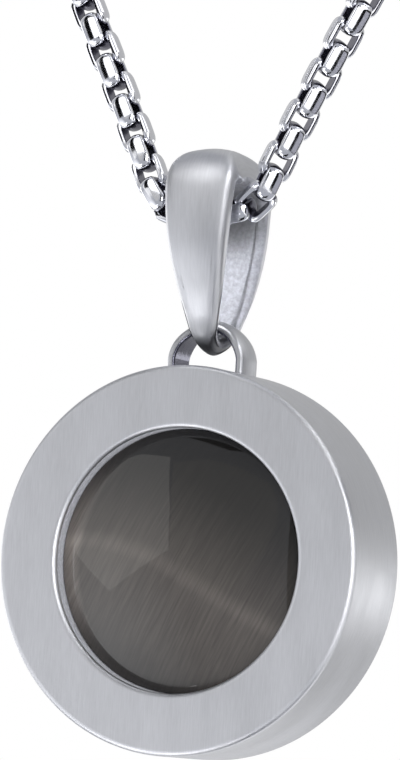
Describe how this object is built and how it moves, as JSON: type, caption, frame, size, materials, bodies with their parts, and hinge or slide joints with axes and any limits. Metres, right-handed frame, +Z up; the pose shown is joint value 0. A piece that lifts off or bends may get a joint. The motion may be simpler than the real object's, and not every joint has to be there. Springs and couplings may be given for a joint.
{
  "type": "coin pendant on a chain",
  "caption": "Round steel drum pendant framing a dark domed stone, hung by a tapered bail on a round box chain that closes behind the neck.",
  "frame": {"origin": "where the necklace hangs: the middle of the nape, on the inner face of the clasp", "axes": "+Z up, the pendant's front faces -Y, +X to the right seen from the front"},
  "size_m": [0.1264, 0.1005, 0.1841],
  "materials": {
    "satin_steel": "satin, fine brushed",
    "polished_steel": "mirror polished",
    "cat_eye_stone": "polished, fibrous"
  },
  "bodies": {
    "necklace": {"chain": "polished_steel", "clasp": "polished_steel"},
    "bail": {"bail": "satin_steel"},
    "drop": {"case": "satin_steel", "stone": "cat_eye_stone"}
  },
  "joints": [
    {"name": "bail_swing", "type": "hinge", "parent": "necklace", "child": "bail", "pos_m": [0.00025, -0.095, -0.148], "axis": [1, 0, 0], "range_deg": [-60, 60]},
    {"name": "drop_swing", "type": "hinge", "parent": "bail", "child": "drop", "pos_m": [0.00025, -0.09405, -0.1546], "axis": [1, 0, 0], "range_deg": [-70, 70]}
  ]
}
